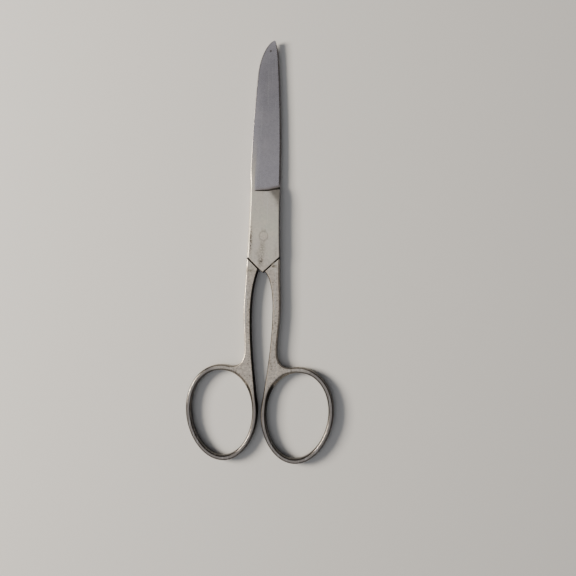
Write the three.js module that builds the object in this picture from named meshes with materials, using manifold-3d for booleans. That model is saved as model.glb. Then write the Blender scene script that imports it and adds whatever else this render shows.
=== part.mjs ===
// All-metal office scissors, lying closed: two forged halves and the screw they turn on.
// Millimetres, +Z up, +Y from the finger loops to the tips. The origin is the middle of the length,
// on the surface the scissors lie on.
import * as THREE from "three";
import { mergeVertices } from "three/addons/utils/BufferGeometryUtils.js";
import Module from "manifold-3d";

const wasm = await Module();
wasm.setup();

// Driving dimensions
const overallLength = 180;
const bladeReach = 83.4; // screw to tip
const loopCentre = { x: 16.2, y: -76 }; // from the screw
const loopRadius = { x: 15.6, y: overallLength - bladeReach + loopCentre.y }; // outer oval
const loopLean = 0.07; // radians, the top of the loop leans away from the other handle
const loopEgg = 0.055; // how much broader the loop's top is than its foot
const wireWidth = 2.4;
const plateThickness = 2.3; // one half's joint plate, and half of the closed joint
const faceGap = 0.05; // each inner face stands this far off the joint plane
const handleThickness = 4.2;
const shoulder = { x: 7, y: -8.9 }; // where the plate's V starts
const vTip = -15.6;
// Where each handle ends beside a plate's V edge: how far from the middle its crotch corner stands,
// the first bend of the crotch below that corner, and the gap to the V edge.
const upperEnd = { corner: 0.9, bend: [3.1, -17.3], gap: { outer: 0.45, inner: 0.35 } };
const lowerEnd = { corner: 2.05, bend: [3.2, -18], gap: { outer: 0.5, inner: 0.5 } };
const grooveFloor = 1.85; // height of the metal under the V line that joins plate and handle
const stepY = 20; // the plate is narrowest here, where the ground blade begins
// The plate's end, a step down to the blade: level at the left, bending up at the right.
const stepLine = [[6.3, 19.9], [4.85, 19.77], [3.4, 19.45], [2.3, 19.15], [0.5, 18.95], [-6.3, 18.93]];
const journal = { bore: 2.1, radius: 2.04 };
const head = { bore: 3.7, radius: 3.55, depth: 1.15, recess: 0.05 };
const thread = { bore: 1.75, radius: 1.7 };
const driverSlot = { width: 0.9, depth: 0.55 };

const steel = { color: 0xb9b7b2, roughness: 0.3, metalness: 1 };
const screwSteel = { color: 0xa9a6a0, roughness: 0.35, metalness: 1 };

// Solids

function toSolid(geometry) {
  const bare = geometry.index ? geometry.toNonIndexed() : geometry.clone();
  bare.deleteAttribute("normal");
  bare.deleteAttribute("uv");
  const merged = mergeVertices(bare, 1e-4);
  return new wasm.Manifold(
    new wasm.Mesh({
      numProp: 3,
      vertProperties: merged.attributes.position.array,
      triVerts: new Uint32Array(merged.index.array),
    }),
  );
}

function toGeometry(solid) {
  const mesh = solid.getMesh();
  const positions = new Float32Array(mesh.vertProperties);
  const geometry = new THREE.BufferGeometry();
  geometry.setAttribute("position", new THREE.BufferAttribute(positions, 3));
  geometry.setIndex(new THREE.BufferAttribute(mesh.triVerts, 1));
  geometry.computeVertexNormals();
  return geometry;
}

// An upright extrusion of a shape from one height to another, with its rims rounded by rim.
function slab(shape, bottom, top, rim = 0) {
  const geometry = new THREE.ExtrudeGeometry(shape, {
    depth: top - bottom - 2 * rim,
    curveSegments: 12,
    bevelEnabled: rim > 0,
    bevelThickness: rim,
    bevelSize: rim,
    bevelOffset: -rim,
    bevelSegments: 3,
  });
  return toSolid(geometry.translate(0, 0, bottom + rim));
}

function post(radius, bottom, top) {
  const geometry = new THREE.CylinderGeometry(radius, radius, top - bottom, 48);
  geometry.rotateX(Math.PI / 2);
  return toSolid(geometry.translate(0, 0, (top + bottom) / 2));
}

// A closed solid through rings that have the same number of points.
function loft(rings) {
  const count = rings[0].length;
  const faces = [];
  for (let r = 0; r < rings.length - 1; r++) {
    for (let i = 0; i < count; i++) {
      const a = r * count + i;
      const b = r * count + ((i + 1) % count);
      faces.push(a, b, b + count, a, b + count, a + count);
    }
  }
  const last = (rings.length - 1) * count;
  for (let i = 1; i < count - 1; i++) {
    faces.push(0, i + 1, i, last, last + i, last + i + 1);
  }
  const geometry = new THREE.BufferGeometry();
  geometry.setAttribute("position", new THREE.Float32BufferAttribute(rings.flat(2), 3));
  geometry.setIndex(faces);
  return toSolid(geometry);
}

// One half, drawn as the upper one: the joint plane at z 0, the screw's axis on z,
// the plate and blade above the plane, and the handle to the right through both layers.

const plateHalfWidth = (y) => 6.3 + 0.7 * ((stepY - y) / (stepY - shoulder.y)) ** 2;

// The broad blade has its edge on the right and a spine that drops to the tip in an arc.
// The slender blade has a straight edge that meets the broad one at the tip.
const tipArc = { start: 68.5, length: 15.1, drop: 6.3 };
const broadBlade = {
  tip: bladeReach,
  edge: (y) => 6.3 - 0.0008 * Math.max(0, y - 24) ** 2 - 0.015 * Math.max(0, y - 76) ** 2,
  spine: (y) => {
    const alongArc = Math.max(0, y - tipArc.start) / tipArc.length;
    return -6.3 + 0.0008 * (y - stepY) ** 2 + tipArc.drop * (1 - Math.sqrt(1 - alongArc ** 2));
  },
};
const slenderBlade = {
  tip: bladeReach - 0.5,
  edge: (y) => 6.1 - 0.0665 * (y - stepY) - 0.00095 * (y - stepY) ** 2,
  spine: (y) => -6.1 + 0.0009 * Math.max(0, y - 24) ** 2 + 0.012 * Math.max(0, y - 76) ** 2,
};

// Ground face: full thickness along the spine, falling to a narrow facet along the edge.
function bladeSolid(blade) {
  const stations = 30;
  const bladeRoot = stepY - 2; // inside the plate
  const rings = [];
  for (let i = 0; i <= stations; i++) {
    const t = i / stations;
    const y = bladeRoot + (blade.tip - bladeRoot) * (1 - (1 - t) ** 1.6);
    const left = blade.spine(y);
    const right = Math.max(blade.edge(y), left + 0.6);
    const width = right - left;
    const ridge = plateThickness * (1 - 0.55 * t);
    const chamfer = Math.min(1.6 - 0.8 * t, width * 0.25);
    const facet = Math.min(1, width * 0.2);
    const edgeHeight = 1.15 - 0.6 * t;
    rings.push([
      [left, y, faceGap],
      [left, y, ridge * 0.8],
      [left + chamfer, y, ridge],
      [right - facet, y, edgeHeight],
      [right, y, faceGap + 0.15],
      [right, y, faceGap],
    ]);
  }
  return loft(rings);
}

function plateSolid() {
  const outline = new THREE.Shape();
  outline.moveTo(0, vTip);
  outline.lineTo(shoulder.x, shoulder.y);
  for (const y of [-3, 4, 12]) outline.lineTo(plateHalfWidth(y), y);
  for (const [x, y] of stepLine) outline.lineTo(x, y);
  for (const y of [12, 4, -3]) outline.lineTo(-plateHalfWidth(y), y);
  outline.lineTo(-shoulder.x, shoulder.y);
  const belowJoint = new THREE.BoxGeometry(40, 80, 4).translate(0, 0, faceGap - 2);
  return slab(outline, -1, plateThickness, 0.35).subtract(toSolid(belowJoint));
}

// A point on the loop's outline, inset from its outer one: an oval, egg-shaped and leaning outwards.
function loopPoint(angle, inset) {
  const x = (loopRadius.x - inset) * Math.cos(angle) * (1 + loopEgg * Math.sin(angle));
  const y = (loopRadius.y - inset) * Math.sin(angle);
  return new THREE.Vector2(
    loopCentre.x + x * Math.cos(loopLean) + y * Math.sin(loopLean),
    loopCentre.y + y * Math.cos(loopLean) - x * Math.sin(loopLean),
  );
}

// The edge of the handle below the plate's right V edge.
function shoulderLine(x, gap) {
  const slope = (shoulder.y - vTip) / shoulder.x;
  const share = Math.min(1, x / shoulder.x);
  const distance = gap.inner + share * (gap.outer - gap.inner);
  return vTip + slope * x - distance * Math.hypot(1, slope);
}

function handleOutline(end) {
  const loopFrom = Math.PI * 0.93;
  const loopTo = Math.PI * 2.583;
  const loopSteps = 48;
  const outerEnd = 7.05;
  const start = loopPoint(loopFrom, 0);
  const outline = new THREE.Shape();
  outline.moveTo(end.corner, shoulderLine(end.corner, end.gap));
  outline.bezierCurveTo(...end.bend, 4.65, -23, 4.68, -33);
  outline.bezierCurveTo(4.7, -45, start.x + 1.86, start.y + 11, start.x, start.y);
  for (let i = 1; i <= loopSteps; i++) {
    const point = loopPoint(loopFrom + ((loopTo - loopFrom) * i) / loopSteps, 0);
    outline.lineTo(point.x, point.y);
  }
  outline.bezierCurveTo(9.6, -56.1, 6.95, -54.6, 6.93, -48.5);
  outline.bezierCurveTo(6.92, -43, 7.8, -38, 7.8, -32);
  outline.bezierCurveTo(7.8, -25, outerEnd, -18, outerEnd, shoulderLine(outerEnd, end.gap));
  const hole = new THREE.Path();
  const holePoints = [];
  for (let i = 0; i < loopSteps; i++) {
    holePoints.push(loopPoint((-2 * Math.PI * i) / loopSteps, wireWidth));
  }
  hole.setFromPoints(holePoints);
  outline.holes.push(hole);
  return outline;
}

// Metal below the V line's groove, which joins the plate to its own handle.
function bridgeSolid() {
  const outline = new THREE.Shape();
  outline.moveTo(2.2, vTip + 3);
  outline.lineTo(2.2, vTip);
  outline.lineTo(6.5, vTip);
  outline.lineTo(6.9, shoulder.y - 1);
  outline.lineTo(6.75, shoulder.y + 3);
  return slab(outline, faceGap, grooveFloor);
}

function halfSolid(blade, end) {
  const reach = handleThickness / 2;
  return plateSolid()
    .add(bladeSolid(blade))
    .add(slab(handleOutline(end), -reach, reach, 0.7))
    .add(bridgeSolid());
}

const upperHalf = halfSolid(broadBlade, upperEnd).subtract(post(thread.bore, -1, plateThickness + 1));
const lowerHalf = halfSolid(slenderBlade, lowerEnd)
  .subtract(post(journal.bore, -1, plateThickness + 1))
  .subtract(post(head.bore, plateThickness - head.depth, plateThickness + 1));

// The screw: a slotted head sunk in the lower half, a plain journal, and a threaded end ground
// flush with the upper half's face. Drawn with the joint plane at z 0 and the head below it.
function screwSolid() {
  const headBottom = -plateThickness + head.recess;
  const headTop = -plateThickness + head.depth - 0.05;
  const rim = 0.2;
  const profile = [
    [0, headBottom],
    [head.radius - rim, headBottom],
    [head.radius, headBottom + rim],
    [head.radius, headTop],
    [journal.radius, headTop],
    [journal.radius, faceGap - 0.02],
    [thread.radius, faceGap - 0.02],
    [thread.radius, plateThickness - 0.02],
    [0, plateThickness - 0.02],
  ].map(([r, z]) => new THREE.Vector2(r, z));
  const turned = new THREE.LatheGeometry(profile, 48).rotateX(Math.PI / 2);
  const cutter = new THREE.BoxGeometry(driverSlot.width, 3 * head.radius, 2 * driverSlot.depth);
  cutter.rotateZ(Math.PI / 5).translate(0, 0, headBottom);
  return toSolid(turned).subtract(toSolid(cutter));
}

function namedMesh(name, solid, finish) {
  const mesh = new THREE.Mesh(toGeometry(solid), new THREE.MeshStandardMaterial(finish));
  mesh.name = name;
  return mesh;
}

const upper = namedMesh("upper_half", upperHalf, steel);
const lower = namedMesh("lower_half", lowerHalf, steel);
lower.rotation.y = Math.PI;
const screw = namedMesh("pivot_screw", screwSolid(), screwSteel);

const scissors = new THREE.Group();
scissors.add(upper, lower, screw);
scissors.position.set(0, overallLength / 2 - bladeReach, plateThickness);

export default scissors;
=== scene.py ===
import math

import bmesh
import bpy
import numpy as np
from mathutils import Matrix, Vector
from mathutils.geometry import tessellate_polygon


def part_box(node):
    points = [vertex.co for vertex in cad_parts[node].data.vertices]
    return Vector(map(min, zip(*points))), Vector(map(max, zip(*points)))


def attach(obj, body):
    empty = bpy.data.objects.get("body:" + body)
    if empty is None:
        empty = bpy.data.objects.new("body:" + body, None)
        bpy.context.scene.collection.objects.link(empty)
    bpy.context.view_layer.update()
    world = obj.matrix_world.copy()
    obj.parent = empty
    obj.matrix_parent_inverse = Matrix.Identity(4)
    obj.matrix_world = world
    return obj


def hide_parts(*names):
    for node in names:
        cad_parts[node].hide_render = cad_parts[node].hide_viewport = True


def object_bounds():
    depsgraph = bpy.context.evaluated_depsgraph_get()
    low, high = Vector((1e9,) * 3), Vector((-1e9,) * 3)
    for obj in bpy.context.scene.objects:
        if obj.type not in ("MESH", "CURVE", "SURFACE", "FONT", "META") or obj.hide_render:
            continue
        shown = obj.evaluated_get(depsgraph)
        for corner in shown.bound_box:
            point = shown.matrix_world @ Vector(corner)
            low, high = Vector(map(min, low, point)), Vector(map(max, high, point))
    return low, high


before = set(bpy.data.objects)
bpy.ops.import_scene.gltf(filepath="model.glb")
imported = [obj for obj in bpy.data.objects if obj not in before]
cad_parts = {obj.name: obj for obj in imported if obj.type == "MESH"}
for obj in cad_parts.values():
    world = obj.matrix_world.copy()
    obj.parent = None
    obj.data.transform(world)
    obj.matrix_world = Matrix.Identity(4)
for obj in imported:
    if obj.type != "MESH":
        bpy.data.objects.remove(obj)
cadLow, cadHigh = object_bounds()
screwLow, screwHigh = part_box("pivot_screw")
millimetre = 0.001
# the middle of the joint: shapes below are in millimetres from it, as one half lies on top
screwMiddle = (screwLow + screwHigh) / 2
joint = Vector((screwMiddle.x, screwMiddle.y, (cadLow.z + cadHigh.z) / 2))
plateTop = (cadHigh.z - joint.z) / millimetre
tipReach = (cadHigh.y - joint.y) / millimetre
loopReach = (joint.y - cadLow.y) / millimetre
print("frame loaded, joint at", joint)


# small helpers

# 0 below low, 1 above high, and 3t^2 - 2t^3 between.
def smoothStep(low, high, value):
    share = np.clip((value - low) / (high - low), 0, 1)
    return share * share * (3 - 2 * share)


# The value a share of the way from the first of a pair to the second.
def partWay(pair, share):
    return pair[0] + (pair[1] - pair[0]) * share


# The lower of two heights, rounded over a band of width blend where they cross.
def smoothMin(first, second, blend):
    share = np.clip(0.5 + 0.5 * (second - first) / blend, 0, 1)
    return second * (1 - share) + first * share - blend * share * (1 - share)


# Cubic Bezier: the four points weighted by the Bernstein terms of t, without the end point.
def bezier(start, pullStart, pullEnd, end, count):
    t = (np.arange(count) / count)[:, None]
    points = np.array([start, pullStart, pullEnd, end], float)
    return ((1 - t) ** 3 * points[0] + 3 * t * (1 - t) ** 2 * points[1]
            + 3 * t ** 2 * (1 - t) * points[2] + t ** 3 * points[3])


# Millimetres from the joint to metres in the frame; the half underneath is turned about Y.
def placed(points, turned):
    points = np.array(points, float)
    if turned:
        points[:, [0, 2]] *= -1
    return points * millimetre + np.array(joint)


def addPiece(name, points, faces):
    mesh = bpy.data.meshes.new(name)
    mesh.from_pydata(points.tolist(), [], faces if isinstance(faces, list) else faces.tolist())
    work = bmesh.new()
    work.from_mesh(mesh)
    bmesh.ops.recalc_face_normals(work, faces=work.faces)
    work.to_mesh(mesh)
    work.free()
    piece = bpy.data.objects.new(name, mesh)
    bpy.context.scene.collection.objects.link(piece)
    return piece


# Joins tool to piece or cuts it away, and removes the tool.
def combine(piece, tool, operation):
    modifier = piece.modifiers.new(operation.lower(), "BOOLEAN")
    modifier.operation = operation
    modifier.solver = "EXACT"
    modifier.object = tool
    bpy.context.view_layer.update()
    result = bpy.data.meshes.new_from_object(piece.evaluated_get(bpy.context.evaluated_depsgraph_get()))
    piece.modifiers.clear()
    oldMesh = piece.data
    piece.data = result
    piece.data.name = piece.name
    bpy.data.meshes.remove(oldMesh)
    bpy.data.objects.remove(tool)


# Quads between neighbouring points of a rows by columns grid, wrapped round if closed.
def gridFaces(rows, columns, closed=False):
    acrossCount = columns if closed else columns - 1
    row, column = np.meshgrid(np.arange(rows - 1), np.arange(acrossCount), indexing="ij")
    after = (column + 1) % columns
    corners = (row * columns + column, row * columns + after,
               (row + 1) * columns + after, (row + 1) * columns + column)
    return np.stack(corners, axis=-1).reshape(-1, 4)


# A grid of top points, the same grid laid flat at height low, and a wall of quads round the rim.
def closedGrid(name, x, y, z, low, turned):
    rows, columns = x.shape
    count = rows * columns
    top = np.stack([x, y, z], axis=-1).reshape(-1, 3)
    bottom = np.stack([x, y, np.full_like(x, low)], axis=-1).reshape(-1, 3)
    grid = gridFaces(rows, columns)
    number = np.arange(count).reshape(rows, columns)
    rim = np.concatenate([number[0, :-1], number[:-1, -1], number[-1, :0:-1], number[:0:-1, 0]])
    after = np.roll(rim, -1)
    wall = np.stack([rim, rim + count, after + count, after], axis=1)
    faces = np.concatenate([grid, grid[:, ::-1] + count, wall])
    return addPiece(name, placed(np.concatenate([top, bottom]), turned), faces)


# handle: shank and finger loop

handle = {
    "thickness": 4.2,
    "loopCentre": (16.2, -76.0),
    "loopWidth": 15.58,  # half the loop's outer width
    "loopLean": 0.07,  # radians, the top leans away from the other handle
    "loopEgg": 0.055,  # how much broader the loop's top is
    "wire": 2.35,  # width of the loop's band
    "loopFrom": 0.93 * math.pi,  # the outline follows the oval from here, on the inner side
    "loopTo": 2.583 * math.pi,  # and leaves it here, for the web on the outer side
    "innerWaist": (4.68, -33.0),  # the shank's inner side, with a pull before and after this point
    "innerPulls": ((4.65, -23.0), (4.7, -45.0)),
    "loopPull": (1.86, 11.0),  # pull of the inner side where it meets the loop
    "webEnd": (6.93, -48.5),  # the outer side: the web ends here, with a pull each way
    "webPulls": ((9.6, -56.1), (6.95, -54.6)),
    "outerBulge": (7.8, -32.0),  # and the shank is broadest here
    "bulgePulls": ((6.92, -43.0), (7.8, -38.0)),
    "shoulderPulls": ((7.8, -25.0), (7.05, -18.0)),
    "outerEnd": 7.05,  # where the outer side meets the V line
    "loopRoot": (6.5, -56.5),  # the section turns from the shank's to the loop's around here
    "rootFade": (4.5, 16.0),  # between these distances from it
    "rootBelow": (-54.5, -58.0),  # and below these heights
    "shankRound": (0.55, 0.6),  # rounding of the shank's edges, across and down
    "loopRound": (0.82, 1.35),  # rounding of the loop's band, across and down
    "webRound": (1.9, 1.95),  # rounding of the hole's edge beside the web
    "webAt": (8.5, -63.5),
    "webReach": (12.0, 3.5),  # that rounding fades in between these distances
    "shoulderRound": (0.12, 0.14),
    "crotchTrim": 1.2,  # how much further the crotch corner is rounded than the rest
    "roundSteps": 8,
    "lidInset": 1.06,  # the flat face starts this share of the rounding in
    "stepsAlong": {"inner": (34, 60), "outer": (34, 26, 36), "oval": 200, "hole": 180, "shoulder": 16},
}

joinVee = {
    "halfWidth": 7.0,
    "shoulder": -8.9,  # where the V starts at the plate's sides
    "tip": -15.6,
}
# where each handle ends beside the V: its crotch corner, the bend below it, and the gap left at
# the V's tip and at its sides
upperEnd = {"corner": 0.9, "bend": (3.1, -17.3), "gap": (0.35, 0.45)}
lowerEnd = {"corner": 2.05, "bend": (3.2, -18.0), "gap": (0.5, 0.5)}
veeSlope = (joinVee["shoulder"] - joinVee["tip"]) / joinVee["halfWidth"]


# Oval x = a cos t (1 + egg sin t), y = b sin t, leaned and moved to the loop's centre.
def loopOutline(angle, inset):
    height = loopReach + handle["loopCentre"][1]
    x = (handle["loopWidth"] - inset) * np.cos(angle) * (1 + handle["loopEgg"] * np.sin(angle))
    y = (height - inset) * np.sin(angle)
    lean = handle["loopLean"]
    return np.stack([handle["loopCentre"][0] + x * math.cos(lean) + y * math.sin(lean),
                     handle["loopCentre"][1] + y * math.cos(lean) - x * math.sin(lean)], axis=-1)


# Height of the handle's end below the V: the V line less the gap square to it.
def shoulderLine(x, end):
    gap = partWay(end["gap"], np.clip(x / joinVee["halfWidth"], 0, 1))
    return joinVee["tip"] + veeSlope * x - gap * math.hypot(1, veeSlope)


# Each point moved inwards along the mean normal of its two edges, for an outline that keeps
# the metal on its left.
def insetOutline(outline, distance):
    before = outline - np.roll(outline, 1, axis=0)
    after = np.roll(outline, -1, axis=0) - outline
    before /= np.linalg.norm(before, axis=1, keepdims=True)
    after /= np.linalg.norm(after, axis=1, keepdims=True)
    tangent = before + after
    tangent /= np.linalg.norm(tangent, axis=1, keepdims=True)
    return outline + np.stack([-tangent[:, 1], tangent[:, 0]], axis=1) * distance[:, None]


# The outer outline with the metal on its left, and the hole's with the metal on its left too.
def handleOutlines(ending):
    crotch = (ending["corner"], float(shoulderLine(ending["corner"], ending)))
    outerEnd = (handle["outerEnd"], float(shoulderLine(handle["outerEnd"], ending)))
    start = loopOutline(np.array([handle["loopFrom"]]), 0)[0]
    end = loopOutline(np.array([handle["loopTo"]]), 0)[0]
    steps = handle["stepsAlong"]
    waist, bulge, webEnd = handle["innerWaist"], handle["outerBulge"], handle["webEnd"]
    intoWaist, fromWaist = handle["innerPulls"]
    inner = np.concatenate([
        bezier(crotch, ending["bend"], intoWaist, waist, steps["inner"][0]),
        bezier(waist, fromWaist, start + handle["loopPull"], start, steps["inner"][1]),
    ])
    arc = loopOutline(np.linspace(handle["loopFrom"], handle["loopTo"], steps["oval"])[:-1], 0)
    outer = np.concatenate([
        bezier(end, *handle["webPulls"], webEnd, steps["outer"][0]),
        bezier(webEnd, *handle["bulgePulls"], bulge, steps["outer"][1]),
        bezier(bulge, *handle["shoulderPulls"], outerEnd, steps["outer"][2]),
    ])
    side = np.concatenate([inner, arc, outer, [outerEnd]])
    hole = loopOutline(-np.linspace(0, 2 * math.pi, steps["hole"], endpoint=False), handle["wire"])
    return side, hole


# How much a point belongs to the round loop: 0 on the shank and its web, 1 well round the loop.
def loopShare(outline):
    fromRoot = np.hypot(*(outline - handle["loopRoot"]).T)
    return smoothStep(*handle["rootFade"], fromRoot) * smoothStep(*handle["rootBelow"], outline[:, 1])


# Rings of points from the bottom face up the wall to the top face. Each ring is the outline moved
# in by r (1 - cos t) at height h - s (1 - sin t); the two flat faces close it.
def makeHandle(ending, turned):
    side, hole = handleOutlines(ending)
    half = handle["thickness"] / 2
    steps = handle["roundSteps"]

    def rounding(outline):
        share = loopShare(outline)
        return [partWay(pair, share) for pair in zip(handle["shankRound"], handle["loopRound"])]

    # side: from the crotch round the loop to the outer end, then back along the shoulder
    shoulderX = np.linspace(handle["outerEnd"], ending["corner"], handle["stepsAlong"]["shoulder"])[1:-1]
    shoulder = np.stack([shoulderX, shoulderLine(shoulderX, ending)], axis=1)
    outline = np.concatenate([side, shoulder])
    across, down = rounding(outline)
    down[-len(shoulder):] = handle["shoulderRound"][1]
    inner = insetOutline(outline, across)
    along = np.array([1, veeSlope]) / math.hypot(1, veeSlope)
    inward = np.array([along[1], -along[0]]) * handle["shoulderRound"][0]
    first, last = 0, len(side) - 1
    inner[first] = outline[first] + inward + along * across[first] * handle["crotchTrim"]
    inner[last] = outline[last] + inward - along * across[last]
    share = (np.arange(len(shoulder)) + 1) / (len(shoulder) + 1)
    inner[last + 1:] = partWay((inner[last], inner[first]), share[:, None])
    down[[first, last]] = handle["shoulderRound"][1]

    holeAcross, holeDown = rounding(hole)
    besideWeb = smoothStep(*handle["webReach"], np.hypot(*(hole - handle["webAt"]).T))
    holeAcross += (handle["webRound"][0] - holeAcross) * besideWeb
    holeDown += (handle["webRound"][1] - holeDown) * besideWeb
    contours = [(outline, inner, down), (hole, insetOutline(hole, holeAcross), holeDown)]
    turn = np.linspace(0, math.pi / 2, steps + 1)
    moved = np.append(1 - np.cos(turn), handle["lidInset"])
    sunk = np.append(1 - np.sin(turn), 0)
    points, faces, lids = [], [], []
    base = 0
    for edge, crest, depth in contours:
        top = np.concatenate([edge[None] + (crest - edge)[None] * moved[:, None, None],
                              (half - depth[None] * sunk[:, None])[..., None]], axis=2)
        rings = np.concatenate([(top * [1, 1, -1])[::-1], top])
        count = len(edge)
        points.append(rings.reshape(-1, 3))
        faces.append(gridFaces(len(rings), count, closed=True) + base)
        lids.append((base, base + (len(rings) - 1) * count, count))
        base += len(rings) * count
    points = np.concatenate(points)
    faces = np.concatenate(faces).tolist()
    for level in (0, 1):
        starts = [lid[level] for lid in lids]
        rings = [points[start:start + lid[2]] * [1, 1, 0] for start, lid in zip(starts, lids)]
        numbers = np.concatenate([np.arange(start, start + lid[2]) for start, lid in zip(starts, lids)])
        triangles = tessellate_polygon([[Vector(point) for point in ring] for ring in rings])
        faces += [[int(numbers[index]) for index in triangle] for triangle in triangles]
    return addPiece("handle", placed(points, turned), faces)


# joint plate and blade

plate = {
    "step": 18.93,  # the plate ends here at the left
    "stepRise": 0.95,  # and this much higher at the right
    "stepBend": (0.5, 6.0),  # between these two places
    "narrowest": 20.0,  # the plate is narrowest here
    "width": 6.3,  # half width at the step
    "flare": 0.7,  # how much wider it is at the shoulders
    "innerFace": 0.05,  # the inner face stands this far off the joint plane
    "leftChamfer": (0.6, 0.75),  # width and slope of the ground edge
    "rightChamfer": (0.18, 0.9),
    "leftFades": (2.0, 9.0),  # the left chamfer narrows over this stretch past the step
    "leftLoses": 0.85,  # by this share
    "veeChamfer": (0.22, 0.9),
    "chamferBlend": 0.05,  # rounding where a chamfer meets the flat
    "scallopFrom": (2.0, 19.0),  # a soft ground corner under the step's right end
    "scallopTo": (6.4, 13.4),
    "scallopSlope": 0.19,
    "scallopBlend": 0.12,
    "runOut": 2.1,  # radius that the grinding wheel leaves past the step
    "runOutBlend": (0.02, 0.22),  # rounding where it meets the flat, at the step and further up
    "runOutFades": (2.0, 16.0),  # and where that changes
    "runOutLift": 0.2,  # share of the rounding given back further up
    "topTaper": 1.25,  # how much lower the spine is at the tip
    "facet": (0.55, 0.4),  # width of the sharpened edge, at the step and at the tip
    "facetBlend": 0.03,
    "edgeLand": 0.08,  # thickness of the cutting edge
    "thinnest": 0.04,
    "fullWidth": 6.0,  # a blade narrower than this has its strips scaled down with it
    "leastSize": 0.12,
}

broadBlade = {
    "tip": tipReach,
    "tipWidth": 0.35,
    "edgeBow": (24.0, 0.0008),  # the edge bows in past this height, by the square of the distance
    "edgeTip": (76.0, 0.015),  # and more near the tip
    "spineBow": (20.0, 0.0008),
    "arcStart": 68.5,  # the spine drops to the tip in a quarter ellipse
    "arcLength": 15.1,
    "arcDrop": 6.3,
    "strip": (2.5, 1.0),  # flat left along the spine, at the step and at the tip
    "faceSlope": (0.108, 0.085),
}

slenderBlade = {
    "tip": tipReach - 0.5,
    "tipWidth": 0.3,
    "inset": 0.2,  # how much narrower it is than the plate on each side
    "edgeFrom": 20.0,
    "edgeLean": 0.0665,
    "edgeBow": 0.00095,
    "spineBow": (24.0, 0.0009),
    "spineTip": (76.0, 0.012),
    "strip": (2.4, 0.8),
    "faceSlope": (0.1, 0.085),
}


# Parabola: narrowest at the step, widest at the shoulders.
def halfWidthAt(y):
    low = plate["narrowest"]
    return plate["width"] + plate["flare"] * ((low - y) / (low - joinVee["shoulder"])) ** 2


# Parabola that starts at a height: bow (y - start)^2.
def bowed(startAndBow, y):
    start, bow = startAndBow
    return bow * np.maximum(0, y - start) ** 2


# Cutting edge: two parabolas that bow it inwards, the second near the tip.
def broadEdge(y):
    return plate["width"] - bowed(broadBlade["edgeBow"], y) - bowed(broadBlade["edgeTip"], y)


# Spine: nearly straight, then a quarter ellipse down to the tip.
def broadSpine(y):
    along = np.clip((y - broadBlade["arcStart"]) / broadBlade["arcLength"], 0, 1)
    drop = broadBlade["arcDrop"] * (1 - np.sqrt(1 - along ** 2))
    return -plate["width"] + bowed(broadBlade["spineBow"], y) + drop


# Cutting edge of the pointed blade: leans across, bowed a little.
def slenderEdge(y):
    past = np.maximum(0, y - slenderBlade["edgeFrom"])
    side = plate["width"] - slenderBlade["inset"]
    return side - slenderBlade["edgeLean"] * past - slenderBlade["edgeBow"] * past ** 2


# Spine of the pointed blade: a long shallow parabola, quicker near the tip.
def slenderSpine(y):
    side = plate["width"] - slenderBlade["inset"]
    return -side + bowed(slenderBlade["spineBow"], y) + bowed(slenderBlade["spineTip"], y)


# Level at the left, with a smooth bend up at the right.
def stepLine(x):
    return plate["step"] + plate["stepRise"] * smoothStep(*plate["stepBend"], x)


# The V: two straight lines up from its tip.
def veeLine(x):
    return joinVee["tip"] + veeSlope * np.abs(x)


# Widths of the flat along the spine and of the sharpened facet, and the scale that narrows both
# with the blade. The flat shrinks with the root of the distance along, the facet evenly.
def groundStrips(blade, width, along):
    size = np.clip(width / plate["fullWidth"], plate["leastSize"], 1)
    return partWay(blade["strip"], np.sqrt(along)) * size, partWay(plate["facet"], along) * size, size


# Lowest of the planes that the maker ground: the plate's flat, the blade's hollow run-out and
# face, the sharpened facet, and the chamfers along the edges.
def topHeight(x, y, left, right, blade):
    along = np.clip((y - stepLine(x)) / (blade["tip"] - stepLine(x)), 0, 1)
    past = y - stepLine(x)
    fromLeft = x - left
    fromRight = right - x
    strip, facetWidth, size = groundStrips(blade, right - left, along)
    flat = plateTop - plate["topTaper"] * along
    slope = partWay(blade["faceSlope"], along)
    face = flat - slope * (fromLeft - strip)
    atFacet = flat - slope * (right - left - facetWidth - strip)
    edge = plate["innerFace"] + plate["edgeLand"]
    facet = edge + (atFacet - edge) * fromRight / facetWidth
    ground = smoothMin(face, facet, plate["facetBlend"])
    wheel = plate["runOut"]
    depth = np.clip(plateTop - ground, 0.001, wheel)
    reach = np.sqrt(2 * wheel * depth - depth ** 2)
    toGo = np.clip(reach - past, 0, wheel * 0.999)
    hollow = ground + wheel - np.sqrt(wheel ** 2 - toGo ** 2)
    fade = smoothStep(*plate["runOutFades"], past)
    soft = partWay(plate["runOutBlend"], fade)
    lift = soft * plate["runOutLift"] * fade
    height = np.where(past < 0, flat, smoothMin(flat, hollow, soft) + lift)

    start, end = np.array(plate["scallopFrom"]), np.array(plate["scallopTo"])
    run = (end - start) / np.linalg.norm(end - start)
    outside = -(x - start[0]) * run[1] + (y - start[1]) * run[0]
    scallop = plateTop - plate["scallopSlope"] * outside * (past < 0.05)
    height = smoothMin(height, np.maximum(scallop, 0), plate["scallopBlend"])

    leftScale = size * (1 - plate["leftLoses"] * smoothStep(*plate["leftFades"], past))
    chamfers = (
        (fromLeft, plate["leftChamfer"], leftScale),
        (fromRight + 100 * (past > 0), plate["rightChamfer"], 1),
        ((y - veeLine(x)) / math.hypot(1, veeSlope), plate["veeChamfer"], 1),
    )
    for distance, (width, slopeDown), scale in chamfers:
        chamfer = flat - slopeDown * (width * scale - distance)
        height = smoothMin(height, chamfer, plate["chamferBlend"])
    return np.maximum(height, plate["innerFace"] + plate["thinnest"])


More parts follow.
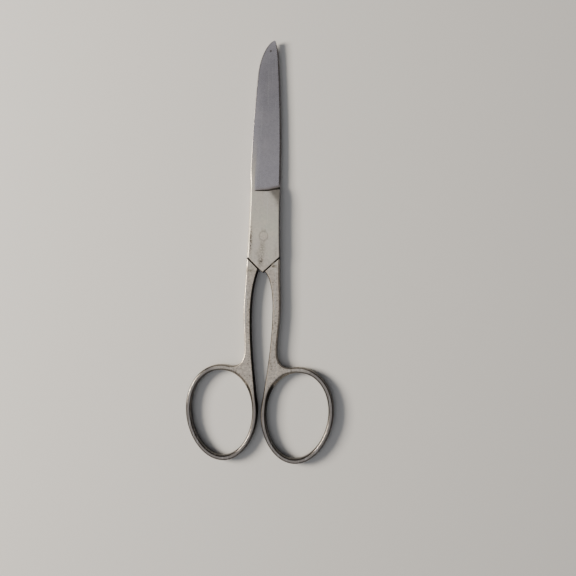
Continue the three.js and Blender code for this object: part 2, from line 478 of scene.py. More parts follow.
# spacing of the blade's grid: millimetres beside the V and the step, shares of the length elsewhere
rowSpacing = {
    "aboveVee": (0, 0.05, 0.12, 0.2, 0.28, 0.36, 0.5),
    "plate": (0.05, 0.86, 14),  # first share, last share, rows
    "scallop": (0.88, 0.97, 8),
    "belowStep": (0.45, 0.25, 0.12, 0.05, 0.02, 0),
    "pastStep": (0.015, 0.04, 0.08, 0.13, 0.2, 0.3, 0.42, 0.56, 0.72, 0.9, 1.1,
                 1.35, 1.6, 1.9, 2.2, 2.6, 3.1, 3.8),
    "blade": (0.08, 0.76, 40),
    "arcFrom": 0.76,  # rows draw together towards the tip from here
    "arcRows": 41,
    "arcPower": 1.5,
    "columns": (5, 3, 3, 3, 7, 8, 3, 4, 3, 1),  # between neighbouring creases, left to right
    "besideCrease": 0.05,  # a column stands this far from each side of a crease
}


# Positions that divide each interval between neighbouring knots into equal parts.
def spread(knots, counts):
    parts = [knots[..., index, None] + (knots[..., index + 1] - knots[..., index])[..., None]
             * (np.arange(count) / count) for index, count in enumerate(counts)]
    return np.concatenate(parts + [knots[..., -1:]], axis=-1)


# Grid over the plate and blade: rows follow the V, then the step, then run square to the tip;
# columns keep close to the chamfers, the flat along the spine and the sharpened facet. The top's
# height is topHeight, and a flat grid below it closes the piece.
def makeBlade(blade, edgeOf, spineOf, turned):
    # rows as shares: 0 at the V, 1 at the step, 2 at the tip
    plateLength = plate["step"] - joinVee["shoulder"]
    bladeLength = blade["tip"] - plate["step"]
    arcFrom = rowSpacing["arcFrom"]
    intoTip = 1 - (1 - np.linspace(0, 1, rowSpacing["arcRows"] + 1)[1:]) ** rowSpacing["arcPower"]
    plateRows = np.concatenate([np.array(rowSpacing["aboveVee"]) / plateLength,
                                np.linspace(*rowSpacing["plate"]),
                                np.linspace(*rowSpacing["scallop"]),
                                1 - np.array(rowSpacing["belowStep"]) / plateLength])
    bladeRows = np.concatenate([np.array(rowSpacing["pastStep"]) / bladeLength,
                                np.linspace(*rowSpacing["blade"]),
                                arcFrom + (1 - arcFrom) * intoTip])
    shares = np.concatenate([plateRows, 1 + bladeRows])[:, None]
    onPlate = np.clip(shares, 0, 1)
    onBlade = np.clip(shares - 1, 0, 1)

    def rowHeight(x):
        low = veeLine(x) * (1 - onPlate) + stepLine(x) * onPlate
        return low * (1 - onBlade) + blade["tip"] * onBlade

    def sideAt(widthOf, bladeOf):
        y = rowHeight(widthOf(np.full_like(shares, joinVee["shoulder"])))
        for _ in range(4):
            x = np.where(onBlade > 0, bladeOf(y), widthOf(y))
            y = rowHeight(x)
        return x

    left = sideAt(lambda y: -halfWidthAt(y), spineOf)
    right = sideAt(halfWidthAt, edgeOf)
    right = np.maximum(right, left + blade["tipWidth"])
    width = right - left
    strip, facet, size = groundStrips(blade, width, onBlade)
    chamfer = plate["leftChamfer"][0] * size
    near = rowSpacing["besideCrease"] * size
    middle = np.where(onBlade > 0, (strip + width - facet) / 2, -left)
    middle = np.clip(middle, strip + 3 * near, width - facet - 3 * near)
    knots = np.concatenate([0 * width, chamfer - near, chamfer + near, strip - near, strip + near, middle,
                            width - facet - near, width - facet + near,
                            width - plate["rightChamfer"][0] * size, width - near * 0.8, width], axis=1)
    offsets = spread(knots, rowSpacing["columns"])
    x = left + offsets
    y = rowHeight(x)
    z = topHeight(x, y, left, right, blade)
    return closedGrid("blade", x, y, z, plate["innerFace"], turned)


# metal under the groove that joins the plate to its own handle

bridge = {
    "from": 1.9,  # distance from the middle where it starts, near the crotch
    "to": 6.96,
    "floor": 1.5,  # height of the groove's floor at both ends
    "crest": 2.12,  # and where the groove is shallow
    "crestRise": (2.0, 4.0),  # it rises between these distances from the middle
    "crestFall": (6.2, 4.8),  # and falls between these
    "overlap": 0.8,  # how far it reaches into the plate and the handle
    "clear": 0.03,  # its underside stands this far above the inner face
    "steps": (40, 6),
}


# Block along the V line: x runs outwards, y crosses the groove, and the top is a smooth hump.
def makeBridge(ending, turned):
    x = np.linspace(bridge["from"], bridge["to"], bridge["steps"][0])[:, None]
    across = np.linspace(0, 1, bridge["steps"][1])[None, :]
    low = shoulderLine(x, ending) - bridge["overlap"]
    high = veeLine(x) + bridge["overlap"]
    y = low + (high - low) * across
    x = x + 0 * across
    hump = smoothStep(*bridge["crestRise"], x) * smoothStep(*bridge["crestFall"], x)
    z = bridge["floor"] + (bridge["crest"] - bridge["floor"]) * hump
    return closedGrid("bridge", x, y, z, plate["innerFace"] + bridge["clear"], turned)


# pivot screw

screw = {
    "thread": 1.71,  # radius where it is ground flush with the upper half
    "threadHole": 1.722,
    "journal": 2.04,
    "journalHole": 2.1,
    "head": 3.55,
    "headHole": 3.7,
    "headDepth": 1.15,  # depth of the sunk seat in the lower half
    "headRecess": 0.05,  # how far the head lies below that half's face
    "headCorner": 0.22,  # rounding of its rim
    "headFlat": 0.9,  # the flat stops this far from its rim
    "seatGap": 0.05,
    "threadFrom": 0.03,  # height where the journal ends
    "endRecess": 0.012,  # the ground end lies this far below the upper half's face
    "endBevel": (0.02, 0.03),
    "slotWidth": 0.9,
    "slotDepth": 0.5,
    "slotReach": 1.4,  # half the cutter's length, in head radii
    "slotTurn": math.radians(36),
    "around": 96,
}


# A profile of (radius, height) carried round the joint's axis, closed by its two end points.
def turnedSolid(name, profile):
    profile = np.array(profile, float)
    angle = np.linspace(0, 2 * math.pi, screw["around"], endpoint=False)
    rings = profile[1:-1]
    points = np.stack([rings[:, :1] * np.cos(angle), rings[:, :1] * np.sin(angle),
                       rings[:, 1:] + 0 * angle], axis=-1).reshape(-1, 3)
    ends = np.array([[0, 0, profile[0, 1]], [0, 0, profile[-1, 1]]])
    count = screw["around"]
    faces = gridFaces(len(rings), count, closed=True).tolist()
    index = np.arange(count)
    after = (index + 1) % count
    lastRing = (len(rings) - 1) * count
    faces += np.stack([index * 0 + len(points), after, index], axis=1).tolist()
    faces += np.stack([index * 0 + len(points) + 1, lastRing + index, lastRing + after], axis=1).tolist()
    return addPiece(name, placed(np.concatenate([points, ends]), False), faces)


# Head, journal and thread as one turned profile, with the driver's slot cut across the head.
def makeScrew():
    head, journal, thread = screw["head"], screw["journal"], screw["thread"]
    headLow = -plateTop + screw["headRecess"]
    headTop = -plateTop + screw["headDepth"] - screw["seatGap"]
    threadLow = screw["threadFrom"]
    endTop = plateTop - screw["endRecess"]
    bevelAcross, bevelDown = screw["endBevel"]
    profile = [(0, headLow), (head - screw["headFlat"], headLow)]
    angle, corner = np.linspace(0, math.pi / 2, 5), screw["headCorner"]
    profile += zip(head - corner * (1 - np.sin(angle)), headLow + corner * (1 - np.cos(angle)))
    profile += [(head, headTop), (journal, headTop), (journal, threadLow), (thread, threadLow)]
    profile += [(thread, endTop - bevelDown), (thread - bevelAcross, endTop)]
    profile += [(thread / 2, endTop), (0, endTop)]
    piece = turnedSolid("pivotScrew", profile)
    half = np.array([screw["slotWidth"] / 2, head * screw["slotReach"], screw["slotDepth"]])
    corners = np.array([[i, j, k] for i in (-1, 1) for j in (-1, 1) for k in (-1, 1)]) * half
    turn = np.array(Matrix.Rotation(screw["slotTurn"], 3, "Z"))
    corners = corners @ turn.T + [0, 0, headLow]
    sides = [[0, 1, 3, 2], [4, 6, 7, 5], [0, 4, 5, 1], [2, 3, 7, 6], [0, 2, 6, 4], [1, 5, 7, 3]]
    combine(piece, addPiece("slot", placed(corners, False), sides), "DIFFERENCE")
    return piece


# A plain round post, to cut a bore with.
def post(radius, low, high):
    return turnedSolid("post", [(0, low), (radius, low), (radius, high), (0, high)])


# One half: plate and blade, the bridge under the V line, and the handle, joined into one body.
def makeHalf(name, blade, edgeOf, spineOf, ending, turned):
    piece = makeBlade(blade, edgeOf, spineOf, turned)
    piece.name = name
    combine(piece, makeBridge(ending, turned), "UNION")
    combine(piece, makeHandle(ending, turned), "UNION")
    return piece


beyond = 1.0  # the bores' cutters reach this far past the metal
upperHalf = makeHalf("upperHalf", broadBlade, broadEdge, broadSpine, upperEnd, False)
combine(upperHalf, post(screw["threadHole"], -beyond, plateTop + beyond), "DIFFERENCE")
print("upper half:", len(upperHalf.data.polygons), "faces")
lowerHalf = makeHalf("lowerHalf", slenderBlade, slenderEdge, slenderSpine, lowerEnd, True)
combine(lowerHalf, post(screw["journalHole"], -plateTop - beyond, beyond), "DIFFERENCE")
seat = post(screw["headHole"], -plateTop - beyond, -plateTop + screw["headDepth"])
combine(lowerHalf, seat, "DIFFERENCE")
print("lower half:", len(lowerHalf.data.polygons), "faces")
pivotScrew = makeScrew()
print("screw:", len(pivotScrew.data.polygons), "faces")


# surface masks, which the steel reads

marks = {
    # place, radii and strength of old stains on the upper plate and shanks, in millimetres
    "streakBesideBevel": ((-5.45, -2.0), (0.6, 6.5), 1.2),
    "smudgeAboveCrotch": ((-0.9, -10.6), (1.1, 1.9), 1.2),
    "smudgeMiddle": ((-0.4, -4.5), (1.3, 2.2), 0.7),
    "smudgeLow": ((-1.2, -7.5), (2.2, 1.6), 0.6),
    "cornerArc": ((5.6, 14.2), (0.5, 2.6), 0.4),
    "shankTop": ((-5.3, -14.8), (2.0, 1.6), 1.2),
    "plateRight": ((5.4, -7.0), (0.6, 3.0), 0.4),
    "crotchLeft": ((-2.0, -17.2), (1.0, 1.1), 1.5),
    "crotchRight": ((1.2, -16.6), (0.9, 0.9), 1.3),
}
# where each shade of a half starts and where it is full, in millimetres unless a note says otherwise
shades = {
    "grindPastStep": (-0.02, 0.12),
    "grindFromSpine": (1.5, 2.3),  # near the step a strip along the spine isn't ground
    "grindAllAcross": (4.0, 26.0),  # further past the step the ground face takes it in
    "innerFace": 0.12,  # this near the joint plane all is ground
    "wall": (0.96, 0.6),  # upright share of the normal; steeper faces get painted shade
    "wallOnLoop": 0.08,  # the painted shade on the loop's walls starts sooner by this share
    "veeSide": 0.1,  # dirt and painted shade in the V line reach this far past its sides
    "veeEnd": 7.4,
    "veeDepth": (0.04, 0.25),  # below the face
    # painted shade on the crotch's walls below the V
    "crotchDown": (-23.0, -16.0),
    "crotchAcross": (7.0, 4.5),
    "crotchTop": -10.0,
    "crotchStrength": 0.9,
    "stepFrom": (0.0, 0.04),  # the painted shade line past the step
    "stepAbove": 0.3,  # it lies on the face over this height
    "stepWidth": (0.85, 1.6),  # its width at the left and at the right
    "stepWidens": (-4.0, 4.0),
    "stepEnd": (-4.9, -3.7),  # it fades out towards the left
    "stepFade": (1.0, 0.4),  # in widths of the line
    "stepStrength": 0.97,
    "stepHaze": (2.8, 0.3),  # a soft painted shade over a wider stretch
    "hazeStrength": 0.28,
    "betweenTop": (-13.0, -16.0),  # painted shade on the sides that face the other handle
    "betweenFoot": (-86.0, -72.0),
    "betweenAcross": (6.3, 5.4),
    "betweenSlope": (0.998, 0.93),  # upright share of the normal
    "betweenStrength": 0.95,
    "edgePastStep": (1.0, 3.0),  # painted shade on the cutting edge's wall
    "edgeStrength": 0.6,
    "spineNear": (3.0, 8.0, 0.55),  # painted shade on the spine's edge, in two steps: from, to and how much
    "spineFar": (10.0, 30.0, 0.4),
    "spineWidth": (0.6, 0.25),
    "rubbedRing": (4.6, 0.9, 0.45),  # radius, width and strength of the rubbed ring round the screw
    "forgedBelow": (-7.0, -20.0),  # rough forged skin, finer on the loops by the share below
    "forgedOnLoop": 0.7,
    "grainLean": (0.97, 0.24),  # the blade's grinding lines lean by this, as shares of y and x
    "grainStretch": 0.04,  # how much slower the grain changes along its lines
}


maskNames = ("ground", "loop", "forged", "wall", "dirtAndShade", "stain")


# One number for each point under each name, and the grain as a vector.
def addMasks(piece, grain, *masks):
    for name, values in zip(maskNames, masks):
        layer = piece.data.attributes.new(name, "FLOAT", "POINT")
        layer.data.foreach_set("value", np.ascontiguousarray(values, np.float32))
    layer = piece.data.attributes.new("grain", "FLOAT_VECTOR", "POINT")
    layer.data.foreach_set("vector", np.ascontiguousarray(grain, np.float32).ravel())


# Each point's place in millimetres from the joint, and its normal.
def pointsAndNormals(piece):
    count = len(piece.data.vertices)
    points, normals = np.empty(count * 3), np.empty(count * 3)
    piece.data.vertices.foreach_get("co", points)
    piece.data.vertex_normals.foreach_get("vector", normals)
    return (points.reshape(-1, 3) - np.array(joint)) / millimetre, normals.reshape(-1, 3)


# How far a value is through one of the stretches above.
def shade(name, value):
    return smoothStep(*shades[name], value)


# Masks from each point's place: ground blade face, loop, painted shade on steep walls, dirt and
# painted shade in the joint's lines, painted shade in its corners, old stains, and a grain direction
# that runs across the blade, along the shank and round the loop.
def maskHalf(piece, spineOf, ending, turned):
    points, normals = pointsAndNormals(piece)
    shown = points.copy()
    if turned:
        points[:, [0, 2]] *= -1
    x, y, z = points.T

    past = y - stepLine(x)
    fromSpine = x - np.where(past > 0, spineOf(y), -halfWidthAt(y))
    innerFace = (np.abs(z) < shades["innerFace"]) & (y > joinVee["tip"])
    ground = shade("grindFromSpine", fromSpine)
    ground = np.maximum(ground, shade("grindAllAcross", past))
    ground = np.where(innerFace, 1.0, ground * shade("grindPastStep", past))
    loop = loopShare(points[:, :2])
    upright = np.abs(normals[:, 2])
    # painted shade on steep walls, from how upright the normal is
    wall = shade("wall", upright - shades["wallOnLoop"] * loop)

    # dirt and painted shade in the V line; painted shade in the crotch, past the step, between the
    # handles and along the edge
    # dirt and painted shade in the V groove, darker deeper below the face
    low = shoulderLine(np.abs(x), ending) - shades["veeSide"]
    inLine = (y > low) & (y < veeLine(x) + shades["veeSide"]) & (np.abs(x) < shades["veeEnd"])
    inVee = inLine * shade("veeDepth", plateTop - np.abs(z))
    # painted shade on the steep walls of the crotch
    crotch = shade("crotchDown", y) * shade("crotchAcross", np.abs(x))
    crotch = shades["crotchStrength"] * crotch * wall * (y < shades["crotchTop"])
    lineWidth = partWay(shades["stepWidth"], shade("stepWidens", x))
    line = shades["stepStrength"] * shade("stepFade", past / lineWidth)
    haze = shades["hazeStrength"] * shade("stepHaze", past)
    atStep = shade("stepFrom", past) * shade("stepEnd", x)
    atStep = atStep * (z > shades["stepAbove"])
    # painted shade on the shanks' sides that face each other
    between = shade("betweenTop", y) * shade("betweenFoot", y)
    between = between * shade("betweenAcross", np.abs(x))
    between = shades["betweenStrength"] * between * shade("betweenSlope", upright)
    # painted shade on the cutting edge's wall, which faces away from the light
    edge = shades["edgeStrength"] * wall * shade("edgePastStep", past) * (x > 0)
    dirtAndShade = np.maximum.reduce([inVee, crotch, atStep * np.maximum(line, haze), between, edge])

    # painted shade along the spine's edge, joined to the walls' painted shade
    spine = sum(share * smoothStep(start, end, past)
                for start, end, share in (shades["spineNear"], shades["spineFar"]))
    wall = np.maximum(wall, spine * shade("spineWidth", fromSpine))

    stain = np.zeros(len(points))
    for place, radii, strength in marks.values():
        offset = (shown[:, :2] - place) / radii
        near = np.exp(-(offset ** 2).sum(axis=1))
        stain = np.maximum(stain, strength * near * (shown[:, 2] > 0))

    ring, ringWidth, ringStrength = shades["rubbedRing"]
    rubbed = np.exp(-((np.hypot(x, y) - ring) / ringWidth) ** 2)
    stain = np.maximum(stain, ringStrength * rubbed * innerFace)

    # grain: along the shank, across the blade, and round the loop by its share of the oval
    fromCentre = points[:, :2] - handle["loopCentre"]
    lean, tall = handle["loopLean"], loopReach + handle["loopCentre"][1]
    upward = (fromCentre @ [math.sin(lean), math.cos(lean)]) / tall
    sideways = (fromCentre @ [math.cos(lean), -math.sin(lean)]) / handle["loopWidth"]
    angle = np.arctan2(upward, sideways)
    sideways = sideways / (1 + handle["loopEgg"] * np.sin(angle))
    reach = handle["loopWidth"] * np.cos(angle) ** 2 + tall * np.sin(angle) ** 2
    inset = (1 - np.hypot(sideways, upward)) * reach
    (level, lean), stretch = shades["grainLean"], shades["grainStretch"]
    lengthwise = np.stack([x + 0.5 * z, stretch * y, 0 * z], axis=1)
    crosswise = np.stack([level * y + lean * x, stretch * (level * x - lean * y), 0 * z], axis=1)
    roundLoop = np.stack([inset + 0.7 * z, 0.6 * np.cos(angle), 0.6 * np.sin(angle)], axis=1)
    grain = lengthwise + (crosswise - lengthwise) * ground[:, None]
    grain = grain + (roundLoop - grain) * loop[:, None]

    forged = shade("forgedBelow", y) * (1 - shades["forgedOnLoop"] * loop)
    addMasks(piece, grain, ground, loop, forged, wall, dirtAndShade, stain)


screwShades = {
    "wall": (0.85, 0.25),  # upright share of the normal; steeper faces get painted shade
    "rim": 0.5,  # how far the painted shade darkens its walls
    "slotDepth": 0.3,  # painted shade fades in over this depth of the slot
    "headBelow": -1.2,  # the head lies below this height
    "threadRing": 0.4,  # painted shade on the walls round the ground end
    "stain": 0.2,
}


# Painted shade deepening down the slot, on the walls round the ground end and on the head's walls;
# the grain turns about the screw's axis.
def maskScrew(piece):
    points, normals = pointsAndNormals(piece)
    x, y, z = points.T
    wall = smoothStep(*screwShades["wall"], np.abs(normals[:, 2]))
    slotFloor = -plateTop + screw["headRecess"] + screw["slotDepth"]
    # painted shade that deepens down the slot, and on the steep walls round the ground end
    inSlot = smoothStep(slotFloor - screwShades["slotDepth"], slotFloor, z) * (z < screwShades["headBelow"])
    dirtAndShade = np.maximum(inSlot, screwShades["threadRing"] * wall * (z > 0))
    stretch = shades["grainStretch"]
    grain = np.stack([np.hypot(x, y), stretch * x, stretch * y], axis=1)
    none = 0 * x
    addMasks(piece, grain, none, none, none, screwShades["rim"] * wall, dirtAndShade, screwShades["stain"] + none)


maskHalf(upperHalf, broadSpine, upperEnd, False)
maskHalf(lowerHalf, slenderSpine, lowerEnd, True)
maskScrew(pivotScrew)
print("masks added")


# steel

forgedLooks = {
    "plate": (0.695, 0.63, 0.535),
    "blade": (0.52, 0.485, 0.505),
    "shank": (0.515, 0.447, 0.375),
    "loop": (0.265, 0.235, 0.21),
    # painted shade on steep walls
    "wall": (0.04, 0.036, 0.034),
    "stain": (0.085, 0.075, 0.065),
    # dirt and painted shade
    "dirtAndShade": (0.018, 0.015, 0.012),
    "warmPatch": (0.68, 0.6, 0.505),
    "greenPatch": (0.58, 0.575, 0.475),
    "paintedWallShade": (0.6, 1.0),  # how far the painted shade darkens walls on the shank and on the loop
    "speck": (0.00085, 0.079, 0.0011),  # a small flaw near the tip, in metres from the joint
    "speckSize": (0.00055, 0.00035),  # it fades in between these distances
    "roughness": {"plate": 0.33, "blade": 0.27, "loop": 0.17},
    "pitDensity": 0.575,  # lower gives more pits
    "brush": 0.16,  # depth of the grinding lines
    "bump": 0.5,
    "bumpHeight": 0.00006,
    "line": (0.7, 0.69, 0.67),  # bare metal in the scratches
    "lineShare": 0.22,
    "patchShare": 0.7,
    "shankShare": 0.85,
    "mottleOnPlate": 0.25,  # mottling and pits on the plate and blade, as a share of the forged skin's
    "pitsOnPlate": 0.12,
    "pitShare": 0.75,
    "rougher": {"pits": 0.15, "walls": 0.1, "shadeAndDirt": 0.4},  # how much each adds to the roughness: pits, the painted wall shade, and the dirt and painted shade
    "dull": {"shadeAndDirt": 0.85, "stains": 0.25},  # how far each takes the metal's shine away: the dirt and painted shade, and stains
    "specular": (0.5, 0.1),  # on clean steel and under the dirt and painted shade
    # how much each shows in the relief, and how shallow the brushing is on ground faces and loops
    "relief": {"smoother": 0.4, "mottle": 0.35, "pits": 0.5, "lines": 0.12},
    # noise patterns: scale, detail, roughness and distortion
    "noises": {"clouds": (110, 4, 0.6, 0.4), "tint": (75, 2, 0.5, 0.8), "mottle": (900, 4, 0.65),
               "specks": (1700, 3, 0.6), "brush": (9, 3, 0.6), "stainEdge": (1500, 5, 0.7),
               "scratches": (1500, 1, 0.4), "crossScratches": (1300, 1, 0.4)},
    # how the scratches' patterns are drawn out, turned and moved
    "scratched": ((1, 0.015, 1), 0.5),
    "crossScratched": ((1, 0.02, 1), -0.9, 0.3),
    # a pattern's values from and to, then what they become if that isn't 0 to 1
    "ranges": {"tint": (0.4, 0.6), "patches": (0.4, 0.62), "mottle": (0.34, 0.66, 0.7, 1.15),
               "clouds": (0.3, 0.7, 0.95, 1.05), "stainEdge": (0.4, 0.52), "walls": (0.2, 0.7, 1.0, 0.72),
               "scratches": (0.66, 0.7), "crossScratches": (0.68, 0.72),
               "satin": (0.3, 0.7, -0.05, 0.05)},
    "pitEdge": 0.06,
}
screwLooks = dict(forgedLooks, plate=(0.65, 0.595, 0.515), pitDensity=0.6,
                  roughness={"plate": 0.35, "blade": 0.35, "loop": 0.35})


# Short calls for the nodes of one material or world.
class Graph:

    def __init__(self, tree):
        self.nodes = tree.nodes
        self.links = tree.links

    def feed(self, socket, value):
        if isinstance(value, bpy.types.NodeSocket):
            self.links.new(value, socket)
        elif socket.type == "RGBA":
            socket.default_value = (*value, 1)
        else:
            socket.default_value = value

    # Makes a node with these options and inputs, and gives one of its outputs.
    def add(self, kind, output, inputs, **options):
        node = self.nodes.new("ShaderNode" + kind)
        for name, value in options.items():
            setattr(node, name, value)
        for name, value in inputs.items():
            self.feed(node.inputs[name], value)
        return node.outputs[output]

    def mask(self, name, output="Fac"):
        return self.add("Attribute", output, {}, attribute_name=name)

    def noise(self, vector, scale, detail, rough, distortion=0.0):
        return self.add("TexNoise", "Fac", {"Vector": vector, "Scale": scale, "Detail": detail,
                                            "Roughness": rough, "Distortion": distortion})

    def stretched(self, vector, scale, turn, offset=0.0):
        return self.add("Mapping", "Vector", {"Vector": vector, "Scale": scale, "Rotation": (0, 0, turn),
                                              "Location": (offset, offset, 0)})

    def ranged(self, value, fromLow, fromHigh, toLow=0.0, toHigh=1.0, kind="LINEAR"):
        return self.add("MapRange", "Result", {"Value": value, "From Min": fromLow, "From Max": fromHigh,
                                               "To Min": toLow, "To Max": toHigh}, interpolation_type=kind)

    # From low where the mask is 0 to high where it is 1.
    def between(self, mask, low, high):
        return self.ranged(mask, 0, 1, low, high)

    def sum(self, first, second, operation="ADD"):
        return self.add("Math", 0, {0: first, 1: second}, operation=operation)

    def times(self, first, second):
        return self.sum(first, second, "MULTIPLY")

    def vectors(self, operation, first, second):
        return self.add("VectorMath", "Value", {0: first, 1: second}, operation=operation)

    def mix(self, share, first, second, blend="MIX"):
        return self.add("Mix", "Result", {"Factor": share, "A": first, "B": second},
                        data_type="RGBA", blend_type=blend)


# Satin steel: broad tarnish clouds, fine mottling, pits, brushing along the grain and a few
# scratches, with painted shade on steep walls, stains, and dirt and painted shade where the masks say.
def steelMaterial(name, looks):
    material = bpy.data.materials.new(name)
    material.use_nodes = True
    graph = Graph(material.node_tree)
    shader = graph.nodes["Principled BSDF"].inputs

    def noise(name, vector):
        return graph.noise(vector, *looks["noises"][name])

    def ranged(name, value):
        return graph.ranged(value, *looks["ranges"][name])

    # masks and patterns
    place = graph.add("TexCoord", "Object", {})
    grain = graph.mask("grain", "Vector")
    ground, loop, forged, wall, dirtAndShade, stain = [graph.mask(name) for name in maskNames]
    clouds = noise("clouds", place)
    mottle = noise("mottle", place)
    brush = noise("brush", grain)
    scratches = ranged("scratches", noise("scratches", graph.stretched(place, *looks["scratched"])))
    across = graph.stretched(place, *looks["crossScratched"])
    crossScratches = ranged("crossScratches", noise("crossScratches", across))
    lines = graph.sum(scratches, crossScratches, "MAXIMUM")
    patches = graph.mix(ranged("tint", noise("tint", place)), looks["warmPatch"], looks["greenPatch"])
    stained = graph.times(stain, ranged("stainEdge", noise("stainEdge", place)))
    # painted shade on the walls, mottled, weaker on the shank than on the loop
    paintedWallShade = graph.times(wall, ranged("walls", mottle))
    paintedWallShade = graph.times(paintedWallShade, graph.between(loop, *looks["paintedWallShade"]))
    onForged = graph.between(forged, looks["pitsOnPlate"], 1.0)
    density = looks["pitDensity"]
    specks = graph.ranged(noise("specks", place), density, density + looks["pitEdge"])
    fromSpeck = graph.vectors("DISTANCE", place, joint + Vector(looks["speck"]))
    speck = graph.ranged(fromSpeck, *looks["speckSize"])
    pits = graph.sum(graph.times(specks, onForged), speck, "MAXIMUM")

    # colour, from the bottom layer up
    colour = looks["plate"]
    for share, layer, blend in (
        (graph.times(ranged("patches", clouds), looks["patchShare"]), patches, "MIX"),
        (graph.times(forged, looks["shankShare"]), looks["shank"], "MIX"),
        (loop, looks["loop"], "MIX"),
        (ground, looks["blade"], "MIX"),
        (graph.between(forged, looks["mottleOnPlate"], 1.0), ranged("mottle", mottle), "MULTIPLY"),
        (1.0, ranged("clouds", clouds), "MULTIPLY"),
        (stained, looks["stain"], "MIX"),
        # painted shade on the walls
        (paintedWallShade, looks["wall"], "MIX"),
        (graph.times(pits, looks["pitShare"]), looks["stain"], "MIX"),
        (graph.times(lines, looks["lineShare"]), looks["line"], "MIX"),
        # dirt and painted shade from the masks
        (dirtAndShade, looks["dirtAndShade"], "MIX"),
    ):
        colour = graph.mix(share, colour, layer, blend)
    graph.feed(shader["Base Color"], colour)

    # roughness and metal
    rough, rougher, dull = looks["roughness"], looks["rougher"], looks["dull"]
    value = rough["plate"]
    for change in (
        graph.times(ground, rough["blade"] - rough["plate"]),
        graph.times(loop, rough["loop"] - rough["plate"]),
        ranged("satin", clouds),
        ranged("satin", brush),
        graph.times(graph.sum(pits, stained, "MAXIMUM"), rougher["pits"]),
        graph.times(paintedWallShade, rougher["walls"]),
        graph.times(dirtAndShade, rougher["shadeAndDirt"]),
    ):
        value = graph.sum(change, value)
    graph.feed(shader["Roughness"], graph.ranged(value, 0.0, 1.0))
    # the dirt and painted shade also dull the metal and lower its specular
    dulled = graph.sum(graph.times(dirtAndShade, dull["shadeAndDirt"]), graph.times(stained, dull["stains"]), "MAXIMUM")
    graph.feed(shader["Metallic"], graph.sum(1.0, dulled, "SUBTRACT"))
    graph.feed(shader["Specular IOR Level"], graph.between(dirtAndShade, *looks["specular"]))

    # relief
    depth = looks["relief"]
    smoother = graph.between(graph.sum(loop, ground, "MAXIMUM"), 1.0, depth["smoother"])
    relief = graph.times(graph.times(brush, smoother), looks["brush"])
    relief = graph.sum(relief, graph.times(graph.times(mottle, onForged), depth["mottle"]))
    relief = graph.sum(relief, graph.times(pits, depth["pits"]), "SUBTRACT")
    relief = graph.sum(relief, graph.times(lines, depth["lines"]), "SUBTRACT")
    graph.feed(shader["Normal"], graph.add("Bump", "Normal", {
        "Strength": looks["bump"], "Distance": looks["bumpHeight"], "Height": relief}))
    return material


forgedSteel = steelMaterial("forgedSteel", forgedLooks)
screwSteel = steelMaterial("screwSteel", screwLooks)
for piece, steel in ((upperHalf, forgedSteel), (lowerHalf, forgedSteel), (pivotScrew, screwSteel)):
    piece.data.materials.clear()
    piece.data.materials.append(steel)
    piece.data.shade_smooth()
    piece.data.set_sharp_from_angle(angle=math.radians(32))

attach(upperHalf, "upper_half")
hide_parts("upper_half")
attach(lowerHalf, "lower_half")
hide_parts("lower_half")
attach(pivotScrew, "upper_half")
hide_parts("pivot_screw")
print("steel and bodies set")


# floor, light and camera

floorMesh = bpy.data.meshes.new("floor")
paper = {
    "half": 4.0,  # metres from the middle to each side
    "height": -0.0001,  # a hair below the steel
    "colour": (0.78, 0.77, 0.75),
    "roughness": 0.9,
}
corners = ((-1, -1), (1, -1), (1, 1), (-1, 1))
floorCorners = [(x * paper["half"], y * paper["half"], paper["height"]) for x, y in corners]
floorMesh.from_pydata(floorCorners, [], [(0, 1, 2, 3)])
floor = bpy.data.objects.new("floor", floorMesh)
bpy.context.scene.collection.objects.link(floor)
floorPaint = bpy.data.materials.new("floorPaint")
floorPaint.use_nodes = True
paint = floorPaint.node_tree.nodes["Principled BSDF"].inputs
paint["Base Color"].default_value = (*paper["colour"], 1)
paint["Roughness"].default_value = paper["roughness"]
floorMesh.materials.append(floorPaint)

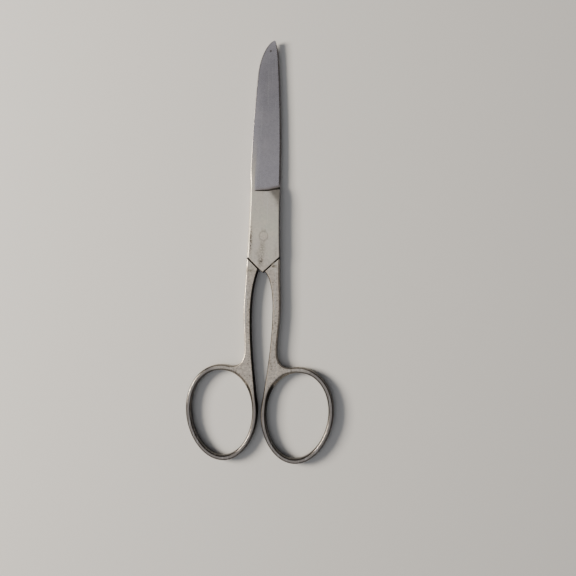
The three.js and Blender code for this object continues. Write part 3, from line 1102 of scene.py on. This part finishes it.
window = {"at": (-0.7, 0.08, 0.5), "size": 0.32, "power": 12, "colour": (1, 0.92, 0.8)}
lamp = bpy.data.lights.new("window", "AREA")
lamp.size = window["size"]
lamp.energy = window["power"]
lamp.color = window["colour"]
holder = bpy.data.objects.new("window", lamp)
holder.location = window["at"]
holder.rotation_euler = (joint - Vector(window["at"])).to_track_quat("-Z", "Y").to_euler()
bpy.context.scene.collection.objects.link(holder)

studio = {
    "overhead": (0.86, 0.88, 0.92),
    "low": (0.06, 0.06, 0.065),
    "backdrop": (0.6, 0.6, 0.6),
    "towards": (-0.2, -0.22, 0.95),  # where the pale ceiling is brightest
    "ceiling": (0.75, 0.97),  # cosines of the ceiling's edge and of its bright middle
    "horizon": (0.04, 0.14),  # the backdrop gives way to the ceiling between these slopes
    "strength": 0.95,
}
world = bpy.data.worlds.new("studio")
world.use_nodes = True
bpy.context.scene.world = world
sky = Graph(world.node_tree)
direction = sky.add("TexCoord", "Generated", {})
towards = sky.vectors("DOT_PRODUCT", direction, Vector(studio["towards"]).normalized())
overhead = sky.ranged(towards, *studio["ceiling"], kind="SMOOTHSTEP")
ceiling = sky.mix(overhead, studio["low"], studio["overhead"])
overHorizon = sky.ranged(sky.add("SeparateXYZ", "Z", {"Vector": direction}), *studio["horizon"])
background = sky.nodes["Background"].inputs
sky.feed(background["Color"], sky.mix(overHorizon, studio["backdrop"], ceiling))
sky.feed(background["Strength"], studio["strength"])

view = {
    "aim": (11.1, -21.9),  # where the middle of the picture falls, in millimetres from the joint
    "at": (46.0, -21.9),  # the camera's place over the object
    "height": 328.5,
    "lean": math.radians(1.6),
    "angle": math.radians(40.8),
}
cameraData = bpy.data.cameras.new("camera")
cameraData.angle = view["angle"]
cameraData.clip_start = 0.01
camera = bpy.data.objects.new("camera", cameraData)
bpy.context.scene.collection.objects.link(camera)
bpy.context.scene.camera = camera
eye = joint + Vector((*view["at"], view["height"])) * millimetre
aim = joint + Vector((*view["aim"], plateTop)) * millimetre
back = (eye - aim).normalized()
upward = Vector((-math.sin(view["lean"]), math.cos(view["lean"]), 0))
across = upward.cross(back).normalized()
upright = back.cross(across)
camera.matrix_world = Matrix.Translation(eye) @ Matrix((across, upright, back)).transposed().to_4x4()
